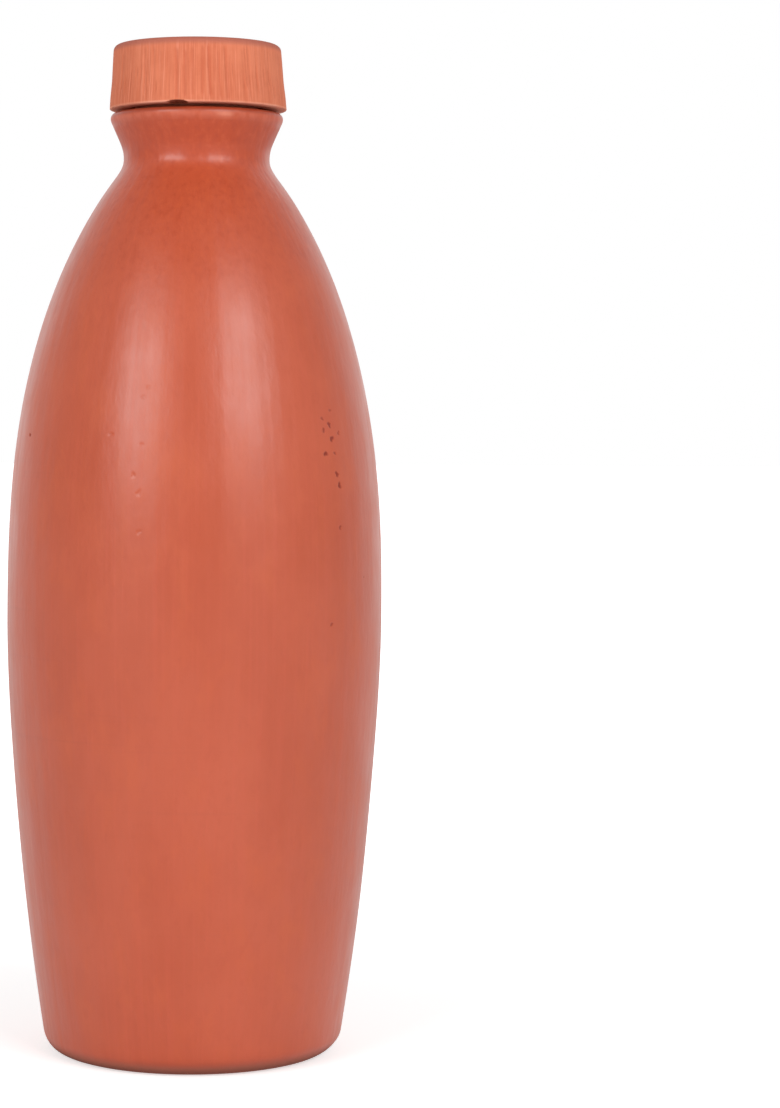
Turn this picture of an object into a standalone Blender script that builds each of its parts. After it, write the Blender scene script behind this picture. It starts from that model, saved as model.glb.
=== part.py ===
"""Clay water bottle: a turned clay body, a fluted clay screw cap and the washer that seals it.

Metres, +Z up. The origin is the centre of the foot, on the surface that the bottle stands on.
The cap is on, tightened. It comes off anticlockwise seen from above, on a right-handed thread.
"""

from math import atan, ceil, copysign, cos, floor, pi, radians, sin, sqrt

import bmesh
import bpy
from mathutils import Matrix, Vector
from mathutils.geometry import interpolate_bezier

# Clearances
SEAT_GAP = 0.0003  # between the washer and all that it touches
LIP_GAP = 0.00085  # the open line between the collar and the cap's lip
THREAD_GAP = 0.0003  # between the flanks of the two threads that bear on each other
CREST_GAP = 0.0006  # between the crest of a thread and the wall across from it

# Outside of the body, from the foot up
FOOT_RADIUS = 0.0348
FOOT_RING = 0.0105  # width of the flat ring that the bottle stands on
FOOT_RECESS = 0.0015  # depth of the hollow inside that ring
FOOT_BEVEL = 0.0015
HEEL_OVERHANG = 0.0054  # how far the wall stands out past the flat foot
HEEL_HEIGHT = 0.0055
HEEL_LEAN = radians(9)
BELLY_RADIUS = 0.05015
BELLY_RISE = 0.1115  # from the top of the heel to the widest place
SHOULDER_RADIUS = 0.0273
SHOULDER_RISE = 0.109  # from there to the steepest place, at the foot of the neck
SHOULDER_LEAN = radians(30)
WAIST_RISE = 0.01255  # from there to the narrowest place
COLLAR_RISE = 0.0122  # from the waist to the collar's flat top
COLLAR_SETBACK = 0.0009  # the collar's flare ends this far inside the cap's lip
COLLAR_LEAN = radians(24)
COLLAR_EDGE = 0.0013  # size of the round that ends the flare

# Inside of the body
WALL = 0.0065
FLOOR = 0.0065  # thickness of clay over the foot's hollow
INNER_HEEL = 0.012  # size of the bend between the floor and the wall
NECK_WALL = 0.00695  # at the waist
MOUTH_RADIUS = 0.0125
FINISH_WALL = 0.0039  # of the threaded end of the neck, above the collar
RIM_ROUND = 0.001
ROOT_ROUND = 0.0008  # in the corner between the threaded end and the collar

# Thread
THREAD_LEAD = 0.005  # rise of the cap in one turn
THREAD_MARGIN = 0.0008  # plain wall left between a ridge and what ends its wall
THREAD_FADE = radians(40)  # the turn over which each end of a ridge dies away

# Cap and washer
CAP_HEIGHT = 0.0172
CAP_TOP = 0.0035  # thickness of the cap's top
CAP_SKIRT = 0.0054  # thickness of its wall at the lip
CAP_TAPER = 0.0012  # loss of radius from the lip to the top
CAP_EDGE = 0.0019
LIP_ROUND = 0.0006
FLUTES = 64
FLUTE_DEPTH = 0.0004
FLUTE_WIDTH = 0.0016
LIP_BAND = 0.0014  # plain band under the flutes
TOP_BAND = 0.0026  # plain band over them
WASHER_THICKNESS = 0.002
WASHER_EASE = 0.0005  # the washer's hole is wider than the mouth by this, all round
WASHER_BEVEL = 0.0003

# Facets
BODY_SIDES = 64
CAP_SIDES = FLUTES  # so that each flute lies in the middle of one flat side
WASHER_SIDES = 64
RIDGE_STEPS = BODY_SIDES // 2  # in one turn of the thread

# Colours, as sRGB values from 0 to 255
BURNISHED_CLAY = (200, 98, 72)
RAW_CLAY = (222, 127, 97)
SILICONE = (226, 221, 208)

# Radii that follow from the sizes above
THREAD_RIDGE = 0.26 * THREAD_LEAD  # of the thread's round ridge
THREAD_HEIGHT = 0.24 * THREAD_LEAD  # how far the ridge stands out of its wall
FINISH_RADIUS = MOUTH_RADIUS + FINISH_WALL
WAIST_RADIUS = MOUTH_RADIUS + NECK_WALL
CAP_BORE = FINISH_RADIUS + THREAD_HEIGHT + CREST_GAP
CAP_RADIUS = CAP_BORE + CAP_SKIRT
FLARE_RADIUS = CAP_RADIUS - COLLAR_SETBACK

# Heights that follow from the sizes above
FLOOR_Z = FOOT_RECESS + FLOOR
BELLY_Z = HEEL_HEIGHT + BELLY_RISE
SHOULDER_Z = BELLY_Z + SHOULDER_RISE
WAIST_Z = SHOULDER_Z + WAIST_RISE
COLLAR_Z = WAIST_Z + COLLAR_RISE
LIP_Z = COLLAR_Z + LIP_GAP
CAP_TOP_Z = LIP_Z + CAP_HEIGHT
CEILING_Z = CAP_TOP_Z - CAP_TOP
WASHER_Z = CEILING_Z - SEAT_GAP - WASHER_THICKNESS
RIM_Z = WASHER_Z - SEAT_GAP
NECK_THREAD_Z = COLLAR_Z + ROOT_ROUND + THREAD_MARGIN + THREAD_RIDGE  # where its ridge starts, at +X

# How far a tightened cap's ridge lies under the bottle's ridge, so that it bears on it from below
MIDDLES_APART = CAP_BORE - FINISH_RADIUS + 2 * (THREAD_RIDGE - THREAD_HEIGHT)
RIDGES_APART = sqrt(max((2 * THREAD_RIDGE + THREAD_GAP) ** 2 - MIDDLES_APART ** 2, 0))

UP = Vector((0, 0, 1))
OUT = Vector((1, 0, 0))


def at(radius, height):
    """A point of a turned outline."""
    return Vector((radius, 0, height))


def leaning(angle):
    """The upward direction that leans outward by an angle."""
    return Vector((sin(angle), 0, cos(angle)))


def bend(start, leave, end, arrive, steps):
    """Points of a smooth bend, which leaves its start along one vector and ends along the other."""
    return list(interpolate_bezier(start, start + leave, end - arrive, end, steps + 1))


def rounded(start, corner, end, steps=3):
    """Points of a rounded corner. The two faces would meet at the corner itself."""
    quarter_circle = 0.55
    return bend(start, (corner - start) * quarter_circle, end, (end - corner) * quarter_circle, steps)


def joined(*stretches):
    """Stretches of an outline as one, with the point that two of them share written once."""
    points = [stretches[0][0]]
    for point in (point for stretch in stretches for point in stretch):
        if (point - points[-1]).length > 1e-6:
            points.append(point)
    return points


def wall_outside(lower_steps, upper_steps, neck_steps):
    """The outside of the body's wall, from the top of the heel up to the waist.

    The factors are how strongly each end of a bend holds its direction, as shares of its rise.
    """
    heel = at(FOOT_RADIUS + HEEL_OVERHANG, HEEL_HEIGHT)
    belly = at(BELLY_RADIUS, BELLY_Z)
    shoulder = at(SHOULDER_RADIUS, SHOULDER_Z)
    waist = at(WAIST_RADIUS, WAIST_Z)
    closing_in = leaning(-SHOULDER_LEAN)
    return joined(
        bend(heel, leaning(HEEL_LEAN) * BELLY_RISE * 0.37, belly, UP * BELLY_RISE * 0.21, lower_steps),
        bend(belly, UP * SHOULDER_RISE * 0.32, shoulder, closing_in * SHOULDER_RISE * 0.39, upper_steps),
        bend(shoulder, closing_in * WAIST_RISE * 0.25, waist, UP * WAIST_RISE * 0.24, neck_steps),
    )


def wall_thickness(height):
    """The wall's thickness, which changes evenly between the shoulder and the waist."""
    share = min(max((height - SHOULDER_Z) / WAIST_RISE, 0), 1)
    return WALL + (NECK_WALL - WALL) * share


def wall_inside():
    """The inside of the wall, from the inner heel up to the waist: the outside, moved in."""
    outside = wall_outside(4, 7, 3)
    inside = []
    for i, point in enumerate(outside):
        along = (outside[min(i + 1, len(outside) - 1)] - outside[max(i - 1, 0)]).normalized()
        inside.append(point + Vector((-along.z, 0, along.x)) * wall_thickness(point.z))
    inside[-1] = at(MOUTH_RADIUS, WAIST_Z)
    foot = FLOOR_Z + INNER_HEEL
    above = [point for point in inside if point.z > foot]
    below = inside[-len(above) - 1]
    return [below.lerp(above[0], (foot - below.z) / (above[0].z - below.z))] + above


def cavity_outline():
    """The inside of the body, from the middle of its floor up to the start of the rim."""
    wall = wall_inside()
    floor_edge = at(wall[0].x - INNER_HEEL, FLOOR_Z)
    rise = (wall[1] - wall[0]).normalized()
    return joined(
        [at(0, FLOOR_Z)],
        bend(floor_edge, OUT * INNER_HEEL * 0.6, wall[0], rise * INNER_HEEL * 0.5, 3),
        wall,
        [at(MOUTH_RADIUS, RIM_Z - RIM_ROUND)],
    )


def body_outline():
    """The cavity, the rim and the threaded end, then the outside down to the middle of the foot."""
    flare_end = at(FLARE_RADIUS, COLLAR_Z - 2 * COLLAR_EDGE)
    opening_out = leaning(COLLAR_LEAN)
    flare = flare_end.z - WAIST_Z
    seat_edge = at(FLARE_RADIUS - COLLAR_EDGE, COLLAR_Z)
    outside = joined(
        wall_outside(6, 11, 5),
        bend(at(WAIST_RADIUS, WAIST_Z), UP * flare * 0.115, flare_end, opening_out * flare * 0.83, 4),
        bend(flare_end, opening_out * COLLAR_EDGE * 1.3, seat_edge, -OUT * COLLAR_EDGE, 3),
    )
    heel = at(FOOT_RADIUS + HEEL_OVERHANG, HEEL_HEIGHT)
    hollow = FOOT_RADIUS - FOOT_RING
    return joined(
        cavity_outline(),
        rounded(at(MOUTH_RADIUS, RIM_Z - RIM_ROUND), at(MOUTH_RADIUS, RIM_Z), at(MOUTH_RADIUS + RIM_ROUND, RIM_Z)),
        rounded(
            at(FINISH_RADIUS - RIM_ROUND, RIM_Z), at(FINISH_RADIUS, RIM_Z), at(FINISH_RADIUS, RIM_Z - RIM_ROUND)
        ),
        rounded(
            at(FINISH_RADIUS, COLLAR_Z + ROOT_ROUND),
            at(FINISH_RADIUS, COLLAR_Z),
            at(FINISH_RADIUS + ROOT_ROUND, COLLAR_Z),
        ),
        list(reversed(outside)),
        bend(heel, -leaning(HEEL_LEAN) * 0.003, at(FOOT_RADIUS, 0), -OUT * 0.003, 3),
        rounded(at(hollow, 0), at(hollow - FOOT_BEVEL, 0), at(hollow - FOOT_BEVEL * 2, FOOT_RECESS)),
        [at(0, FOOT_RECESS)],
    )


def skirt_radius(height):
    """The cap's outer radius at a height: the skirt narrows evenly from the lip up."""
    return CAP_RADIUS - CAP_TAPER * (height - LIP_Z) / CAP_HEIGHT


def cap_outline():
    """The top of the cap, its skirt and lip, then the inside up to the middle of its ceiling."""
    edge_z = CAP_TOP_Z - CAP_EDGE
    lip_z = LIP_Z + LIP_ROUND
    return joined(
        [at(0, CAP_TOP_Z)],
        rounded(
            at(skirt_radius(CAP_TOP_Z) - CAP_EDGE, CAP_TOP_Z),
            at(skirt_radius(CAP_TOP_Z), CAP_TOP_Z),
            at(skirt_radius(edge_z), edge_z),
            4,
        ),
        rounded(at(skirt_radius(lip_z), lip_z), at(CAP_RADIUS, LIP_Z), at(CAP_RADIUS - LIP_ROUND, LIP_Z), 2),
        rounded(at(CAP_BORE + LIP_ROUND, LIP_Z), at(CAP_BORE, LIP_Z), at(CAP_BORE, lip_z), 2),
        [at(CAP_BORE, CEILING_Z), at(0, CEILING_Z)],
    )


def washer_outline():
    """A flat ring with bevelled edges, as a closed loop that runs down its outer side."""
    outer = CAP_BORE - SEAT_GAP
    inner = MOUTH_RADIUS + WASHER_EASE
    top = WASHER_Z + WASHER_THICKNESS
    return [
        at(outer - WASHER_BEVEL, top),
        at(outer, top - WASHER_BEVEL),
        at(outer, WASHER_Z + WASHER_BEVEL),
        at(outer - WASHER_BEVEL, WASHER_Z),
        at(inner + WASHER_BEVEL, WASHER_Z),
        at(inner, WASHER_Z + WASHER_BEVEL),
        at(inner, top - WASHER_BEVEL),
        at(inner + WASHER_BEVEL, top),
    ]


def thread_run(wall_radius, low, high, start_z, into_wall):
    """The middle line of a thread's ridge, with its share of the full ridge at each point.

    It climbs from about low to about high along the right-handed helix that passes start_z at +X,
    and sinks into its wall at both ends. into_wall is 1 where the wall lies outside the ridge,
    and -1 where it lies inside. Its points lie on the lines between the wall's flat sides.
    """
    step = 2 * pi / RIDGE_STEPS
    rise = THREAD_LEAD / RIDGE_STEPS
    first = ceil((low - start_z) / rise)
    last = floor((high - start_z) / rise)
    run = []
    for i in range(first, last + 1):
        from_end = min((i - first) * step, (last - i) * step, THREAD_FADE) / THREAD_FADE
        share = 0.2 + 0.8 * sin(from_end * pi / 2)
        depth = THREAD_RIDGE - THREAD_HEIGHT + THREAD_RIDGE * (1 - share) / 2
        radius = wall_radius + into_wall * depth
        run.append((Vector((radius * cos(i * step), radius * sin(i * step), start_z + rise * i)), share))
    return run


def collection(name):
    """A new collection in the scene."""
    made = bpy.data.collections.new(name)
    bpy.context.scene.collection.children.link(made)
    return made


def material(name, colour, roughness):
    """A Principled material from an sRGB colour."""
    made = bpy.data.materials.new(name)
    made.use_nodes = True
    shader = made.node_tree.nodes["Principled BSDF"]
    linear = [((c / 255 + 0.055) / 1.055) ** 2.4 for c in colour]
    shader.inputs["Base Color"].default_value = (*linear, 1)
    shader.inputs["Roughness"].default_value = roughness
    shader.inputs["Metallic"].default_value = 0
    return made


def turned(name, outline, base_z, sides, look, group):
    """An object turned round Z from an outline, with its origin on the axis at base_z."""
    mesh = bpy.data.meshes.new(name)
    points = [point - UP * base_z for point in outline]
    edges = [(i, i + 1) for i in range(len(points) - 1)]
    if outline[0].x > 0:
        edges.append((len(points) - 1, 0))
    mesh.from_pydata(points, edges, [])
    mesh.materials.append(look)
    piece = bpy.data.objects.new(name, mesh)
    piece.location.z = base_z
    group.objects.link(piece)
    screw = piece.modifiers.new("turn", "SCREW")
    screw.steps = screw.render_steps = sides
    screw.use_merge_vertices = True
    screw.merge_threshold = 0.00001
    screw.use_smooth_shade = True
    return piece


def tool_object(name, mesh, group):
    """A closed mesh as an object that only serves a Boolean."""
    mesh.shade_smooth()
    tool = bpy.data.objects.new(name, mesh)
    tool.hide_render = True
    tool.display_type = "WIRE"
    group.objects.link(tool)
    return tool


def ridge(name, run, group):
    """A thread's round ridge along its middle line."""
    curve = bpy.data.curves.new(name, "CURVE")
    curve.dimensions = "3D"
    curve.twist_mode = "Z_UP"
    curve.bevel_depth = THREAD_RIDGE
    curve.bevel_resolution = 2
    curve.use_fill_caps = True
    spline = curve.splines.new("POLY")
    spline.points.add(len(run) - 1)
    for point, (place, share) in zip(spline.points, run):
        point.co = (*place, 1)
        point.radius = share
    drawn = bpy.data.objects.new(name, curve)
    group.objects.link(drawn)
    mesh = bpy.data.meshes.new_from_object(drawn.evaluated_get(bpy.context.evaluated_depsgraph_get()))
    bpy.data.objects.remove(drawn)
    welded = bmesh.new()
    welded.from_mesh(mesh)
    bmesh.ops.remove_doubles(welded, verts=welded.verts, dist=1e-6)
    bmesh.ops.recalc_face_normals(welded, faces=welded.faces)
    welded.to_mesh(mesh)
    welded.free()
    return tool_object(name, mesh, group)


def flute_cutters(group):
    """Round-ended rods that lie along the skirt, one in the middle of each of its flat sides."""
    radius = (FLUTE_WIDTH ** 2 / 4 + FLUTE_DEPTH ** 2) / (2 * FLUTE_DEPTH)
    low = LIP_Z + LIP_BAND + radius
    high = CAP_TOP_Z - TOP_BAND - radius
    middle = (low + high) / 2
    flat_side = skirt_radius(middle) * cos(pi / CAP_SIDES)
    along_skirt = Matrix.Translation(at(flat_side + radius - FLUTE_DEPTH, middle)) @ Matrix.Rotation(
        -atan(CAP_TAPER / CAP_HEIGHT), 4, "Y"
    )
    cutters = bmesh.new()
    for i in range(FLUTES):
        ball = bmesh.ops.create_uvsphere(cutters, u_segments=12, v_segments=5, radius=radius)["verts"]
        for vert in ball:
            vert.co.z += copysign((high - low) / 2, vert.co.z)
        turn = Matrix.Rotation(2 * pi * (i + 0.5) / CAP_SIDES, 4, "Z")
        bmesh.ops.transform(cutters, matrix=turn @ along_skirt, verts=ball)
    mesh = bpy.data.meshes.new("flute_cutters")
    cutters.to_mesh(mesh)
    cutters.free()
    return tool_object("flute_cutters", mesh, group)


def combine(piece, operation, tool):
    """Join a tool to a piece, or cut the piece with it."""
    boolean = piece.modifiers.new(tool.name, "BOOLEAN")
    boolean.operation = operation
    boolean.object = tool


def even_shading(piece):
    """Keep the flats of a smooth piece looking flat beside its rounds."""
    piece.modifiers.new("shading", "WEIGHTED_NORMAL")


def make_body(parts, tools):
    """The clay vessel, with its neck's thread."""
    clay = material("burnished clay", BURNISHED_CLAY, 0.42)
    body = turned("bottle_body", body_outline(), 0, BODY_SIDES, clay, parts)
    run = thread_run(FINISH_RADIUS, NECK_THREAD_Z, RIM_Z - RIM_ROUND - THREAD_RIDGE, NECK_THREAD_Z, -1)
    combine(body, "UNION", ridge("neck_thread", run, tools))
    even_shading(body)
    return body


def make_washer(parts):
    """The soft ring between the mouth's rim and the cap's ceiling."""
    silicone = material("silicone", SILICONE, 0.6)
    return turned("sealing_washer", washer_outline(), WASHER_Z, WASHER_SIDES, silicone, parts)


def make_cap(parts, tools):
    """The cap, with the thread in its bore and the flutes round its skirt."""
    clay = material("raw clay", RAW_CLAY, 0.8)
    cap = turned("screw_cap", cap_outline(), LIP_Z, CAP_SIDES, clay, parts)
    low = LIP_Z + LIP_ROUND + THREAD_MARGIN + THREAD_RIDGE
    high = WASHER_Z - THREAD_MARGIN - THREAD_RIDGE
    run = thread_run(CAP_BORE, low, high, NECK_THREAD_Z - RIDGES_APART, 1)
    combine(cap, "UNION", ridge("cap_thread", run, tools))
    combine(cap, "DIFFERENCE", flute_cutters(tools))
    even_shading(cap)
    return cap


def litres_to_the_brim():
    """What the cavity and the mouth hold, as a stack of cut cones."""
    outline = cavity_outline() + [at(MOUTH_RADIUS, RIM_Z)]
    cubic_metres = 0
    for low, high in zip(outline, outline[1:]):
        cubic_metres += pi / 3 * (high.z - low.z) * (low.x ** 2 + low.x * high.x + high.x ** 2)
    return cubic_metres * 1000


for leftover in list(bpy.data.objects):
    bpy.data.objects.remove(leftover)
parts = collection("clay_water_bottle")
tools = collection("clay_water_bottle_cutters")

cap_axis = bpy.data.objects.new("cap_axis", None)
cap_axis.location.z = LIP_Z
parts.objects.link(cap_axis)

cap_axis.parent = make_body(parts, tools)
for rider in (make_washer(parts), make_cap(parts, tools)):
    rider.parent = cap_axis
    rider.location.z -= LIP_Z

bpy.context.view_layer.update()
print(f"Overall height {CAP_TOP_Z * 1000:.1f} mm, widest {BELLY_RADIUS * 2000:.1f} mm")
print(f"Holds {litres_to_the_brim():.2f} litres to the brim")
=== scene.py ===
"""Looks of the clay water bottle: its burnished body, raw clay cap and silicone washer.

Metres, +Z up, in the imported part's own frame. An angle round the bottle is counted from the
front, which faces -Y, and grows to the right as the camera sees it.
"""

from math import cos, pi, radians, sin, sqrt
from random import Random

import bmesh
import bpy
import numpy as np
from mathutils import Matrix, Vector
from mathutils.geometry import interpolate_bezier


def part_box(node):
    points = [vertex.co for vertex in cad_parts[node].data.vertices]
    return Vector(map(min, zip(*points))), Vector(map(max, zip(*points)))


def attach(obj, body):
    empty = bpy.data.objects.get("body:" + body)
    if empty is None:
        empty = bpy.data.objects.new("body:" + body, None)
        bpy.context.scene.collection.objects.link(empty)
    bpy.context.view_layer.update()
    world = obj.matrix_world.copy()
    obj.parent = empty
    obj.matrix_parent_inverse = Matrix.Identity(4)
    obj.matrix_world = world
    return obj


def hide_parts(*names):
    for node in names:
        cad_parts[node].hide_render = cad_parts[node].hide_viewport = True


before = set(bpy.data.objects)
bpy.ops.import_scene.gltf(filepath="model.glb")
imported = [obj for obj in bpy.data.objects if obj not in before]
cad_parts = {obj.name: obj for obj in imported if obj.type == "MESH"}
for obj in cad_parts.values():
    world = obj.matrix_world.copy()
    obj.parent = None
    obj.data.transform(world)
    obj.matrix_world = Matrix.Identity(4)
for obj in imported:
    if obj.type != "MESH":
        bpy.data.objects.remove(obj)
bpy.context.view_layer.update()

# Camera, straight in front. The lens shift alone sets the bottle left of the middle.
CAMERA_PLACE = Vector((0, -0.8055, 0.1732))
CAMERA_TURN = (radians(87.168), radians(-0.292), radians(0.014))
CAMERA_LENS = 97.59
CAMERA_SHIFT = 0.1763

# Two soft lights in front of the bottle: angle, height over the horizon, width, height, radiance
LIGHT_DISTANCE = 2.0
LEFT_LIGHT = (radians(-38), radians(24), 1.0, 0.95, 5.0)
RIGHT_LIGHT = (radians(34), radians(28), 1.05, 1.0, 5.1)
ROOM_LIGHT = 0.41  # share of the room's brightness that lights the bottle
RIGHT_WALL_LIGHT = 0.57  # the same from the right, where the room is lighter
BACKDROP_LIGHT = 0.2  # what the pale backdrop adds to it from behind
WALLS_SEEN = 0.64  # brightness of the walls where the bottle mirrors them
FLOOR_SEEN = 0.42  # the same for the floor
BACKDROP_SEEN = 1.12  # the same for what stands behind the bottle
CEILING_LIGHT = 0.22  # brightness overhead, where the walls have 1
UNDERSIDE_LIGHT = 0.42  # glow of the floor right under the foot, which shows the underside from below
FLOOR_GLOW = (0.54, 1)  # what the floor adds near the bottle and far away, so that it turns white
FLOOR_COLOUR = (238, 238, 238)
FLOOR_REACH = 8.0
FLOOR_DROP = 0.0001  # keeps the floor clear of the foot's flat ring

# Body, with the sizes of the part's own source
FOOT_RADIUS = 0.0348
FOOT_RING = 0.0105
FOOT_RECESS = 0.0015
FOOT_BEVEL = 0.0015
HEEL_OVERHANG = 0.0054
HEEL_HEIGHT = 0.0055
HEEL_LEAN = radians(9)
HEEL_REACH = 0.003
BELLY_RADIUS = 0.05015
BELLY_RISE = 0.1115
SHOULDER_RISE = 0.109
WAIST_RISE = 0.01255
COLLAR_RISE = 0.0122
COLLAR_SETBACK = 0.0009
COLLAR_LEAN = radians(24)
COLLAR_EDGE = 0.0013
WALL = 0.0065
FLOOR = 0.0065
INNER_HEEL = 0.012
NECK_WALL = 0.00695
MOUTH_RADIUS = 0.0125
FINISH_WALL = 0.0039
RIM_ROUND = 0.001
ROOT_ROUND = 0.0008

# Bends of the wall and the flare, measured more closely than the part's own: the shoulder lies up to
# 0.43 mm inside the part's, and the flare up to 0.15 mm off it. A bend's pair says how far it reaches
# straight on from its two ends, as shares of its rise.
SHOULDER_RADIUS = 0.0268
SHOULDER_LEAN = radians(31.6)
LOWER_WALL_REACH = (0.37, 0.21)
UPPER_WALL_REACH = (0.23, 0.411)
WAIST_REACH = (0.717, 0.26)
FLARE_REACH = (0.29, 0.675)

# The body's unevenness, wear and painted light, which the part leaves out
WALL_UNEVEN = 0.00011
THROWING_RING = 0.00025  # how far the rings that throwing leaves stand in the hollow
THROWING_PITCH = 0.0075
HEEL_WEAR = 0.0012  # the heel is worn rounder to one side
HEEL_WEAR_ANGLE = radians(50)
GLINT_ANGLE = radians(19)  # middle of a painted glint, a pale spot on the collar's edge standing in for a highlight
GLINT_HALF_WIDTH = radians(7)
SEAT_SHINE = (0.0195, 0.0212)  # radii between which the collar's top turns from raw to burnished
COLLAR_EDGE_MARKS = (0.0206, 0.0212)  # radii between which the marks of its edge set in: wear, painted highlight and painted shade

# Thread, cap and washer, with the sizes of the part's own source
THREAD_LEAD = 0.005
THREAD_GAP = 0.0003
THREAD_MARGIN = 0.0008
THREAD_FADE = radians(40)
CREST_GAP = 0.0006
THREAD_RIDGE = 0.26 * THREAD_LEAD
THREAD_HEIGHT = 0.24 * THREAD_LEAD
CAP_TOP = 0.0035
CAP_SKIRT = 0.0054
CAP_TAPER = 0.0012
LIP_ROUND = 0.0006
FLUTES = 64
LIP_BAND = 0.0014
TOP_BAND = 0.0026
WASHER_EASE = 0.0005

# Details of the cap, which the part leaves out or has a little rounder
CAP_EDGE = 0.0015
LIP_EDGE = LIP_ROUND / 2
LIP_LIFT = 0.00016  # the lip's outer half is raised, which makes the dark gap under it taller
LIP_ASIDE = 0.00035  # the lip sits to one side of the top
SKIRT_DRAWN_IN = 0.00022
CAP_UNEVEN = 0.00008
SCRATCHES = 110
CHIP_ANGLE = radians(-13.8)
CHIP_HALF_WIDTH = radians(7.6)
CHIP_HEIGHT = 0.00055
FULL_GROOVE = 0.0003  # depth at which a groove's mark for the material is 1: its painted shade is then full
WASHER_ROUND = 0.0004

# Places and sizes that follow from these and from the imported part
BELLY_Z = HEEL_HEIGHT + BELLY_RISE
SHOULDER_Z = BELLY_Z + SHOULDER_RISE
WAIST_Z = SHOULDER_Z + WAIST_RISE
COLLAR_Z = WAIST_Z + COLLAR_RISE
RIM_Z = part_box("bottle_body")[1].z
LIP_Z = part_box("screw_cap")[0].z
CAP_TOP_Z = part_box("screw_cap")[1].z
WASHER_LOW, WASHER_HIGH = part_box("sealing_washer")
CEILING_Z = CAP_TOP_Z - CAP_TOP
FLOOR_Z = FOOT_RECESS + FLOOR
WAIST_RADIUS = MOUTH_RADIUS + NECK_WALL
FINISH_RADIUS = MOUTH_RADIUS + FINISH_WALL
CAP_BORE = FINISH_RADIUS + THREAD_HEIGHT + CREST_GAP
CAP_RADIUS = CAP_BORE + CAP_SKIRT
CAP_HEIGHT = CAP_TOP_Z - LIP_Z
WEAR_AND_HIGHLIGHT_BAND = (COLLAR_Z - 0.0033, COLLAR_Z - 0.0022)  # heights between which the collar's wear and painted highlight set in
COLLAR_SHADE_BAND = (COLLAR_Z - 0.0016, COLLAR_Z - 0.0008)  # heights between which it gives way to painted shade, as under the cap's lip
NECK_THREAD_Z = COLLAR_Z + ROOT_ROUND + THREAD_MARGIN + THREAD_RIDGE
# The ridges of both threads are round. The cap's lie just so far under the neck's that the gap is kept.
MIDDLES_APART = CAP_BORE - FINISH_RADIUS + 2 * (THREAD_RIDGE - THREAD_HEIGHT)
RIDGES_APART = sqrt((2 * THREAD_RIDGE + THREAD_GAP) ** 2 - MIDDLES_APART ** 2)

# Fineness of the meshes
BODY_SIDES = 192
CAP_SIDES = 10 * FLUTES
WASHER_SIDES = 192
PIT_CUTS = 6
PIT_REACH = 0.0019
WALL_STEPS = 90
WAIST_STEPS = 24
FLARE_STEPS = 18

# Pits in the body's wall: angle in degrees, height, width and depth in millimetres
PITS = [
    (48.2, 172.1, 0.9, 0.16), (44.1, 170.0, 1.0, 0.2), (47.1, 168.4, 1.4, 0.3), (44.3, 167.0, 1.2, 0.23),
    (51.2, 166.3, 1.1, 0.2), (47.6, 164.8, 1.5, 0.33), (44.2, 161.0, 1.4, 0.3), (48.4, 161.1, 1.0, 0.2),
    (48.6, 155.7, 1.4, 0.3), (49.5, 152.8, 1.5, 0.33), (48.8, 142.0, 1.1, 0.23), (44.8, 117.2, 1.0, 0.23),
    (61.6, 128.7, 0.6, 0.1), (-65.4, 165.3, 1.1, 0.23),
]
# Shallow dents, in the same terms
DENTS = [
    (-15.2, 177.8, 1.4, 0.08), (-16.7, 175.2, 1.6, 0.08), (-16.3, 163.1, 1.5, 0.08), (-18.8, 155.5, 1.6, 0.1),
    (-16.9, 151.0, 1.8, 0.12), (-16.6, 141.2, 1.6, 0.1), (-26.9, 165.8, 1.5, 0.1),
]

UP = Vector((0, 0, 1))
OUT = Vector((1, 0, 0))
ARC_REACH = 0.55  # share of the way to its corner that a bend reaches where it comes close to an arc


def at(radius, height):
    """A point of a turned outline."""
    return Vector((radius, 0, height))


def leaning(angle):
    """The upward direction that leans outward by an angle."""
    return Vector((sin(angle), 0, cos(angle)))


def bend(start, leave, end, arrive, steps):
    """Points of a smooth bend, which leaves its start along one vector and ends along the other."""
    return list(interpolate_bezier(start, start + leave, end - arrive, end, steps + 1))


def wall_bend(start, away, end, toward, rise, reach, steps):
    """Points of a bend that reaches straight on from its two ends by these two shares of its rise."""
    return bend(start, away * rise * reach[0], end, toward * rise * reach[1], steps)


def rounded(start, corner, end, steps=8):
    """Points of a rounded corner. The two faces would meet at the corner itself."""
    return bend(start, (corner - start) * ARC_REACH, end, (end - corner) * ARC_REACH, steps)


def line(start, end, step):
    """Points of a straight stretch, about one step apart."""
    count = max(round((end - start).length / step), 1)
    return [start.lerp(end, i / count) for i in range(count + 1)]


def joined(*stretches):
    """Stretches of an outline as one, with the point that two of them share written once."""
    points = [stretches[0][0]]
    for point in (point for stretch in stretches for point in stretch):
        if (point - points[-1]).length > 1e-6:
            points.append(point)
    return points


def wall_outside():
    """The outside of the body's wall, from the top of the heel up to the waist."""
    heel = at(FOOT_RADIUS + HEEL_OVERHANG, HEEL_HEIGHT)
    belly = at(BELLY_RADIUS, BELLY_Z)
    shoulder = at(SHOULDER_RADIUS, SHOULDER_Z)
    waist = at(WAIST_RADIUS, WAIST_Z)
    closing_in = leaning(-SHOULDER_LEAN)
    return joined(
        wall_bend(heel, leaning(HEEL_LEAN), belly, UP, BELLY_RISE, LOWER_WALL_REACH, WALL_STEPS),
        wall_bend(belly, UP, shoulder, closing_in, SHOULDER_RISE, UPPER_WALL_REACH, WALL_STEPS),
        wall_bend(shoulder, closing_in, waist, UP, WAIST_RISE, WAIST_REACH, WAIST_STEPS),
    )


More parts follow.
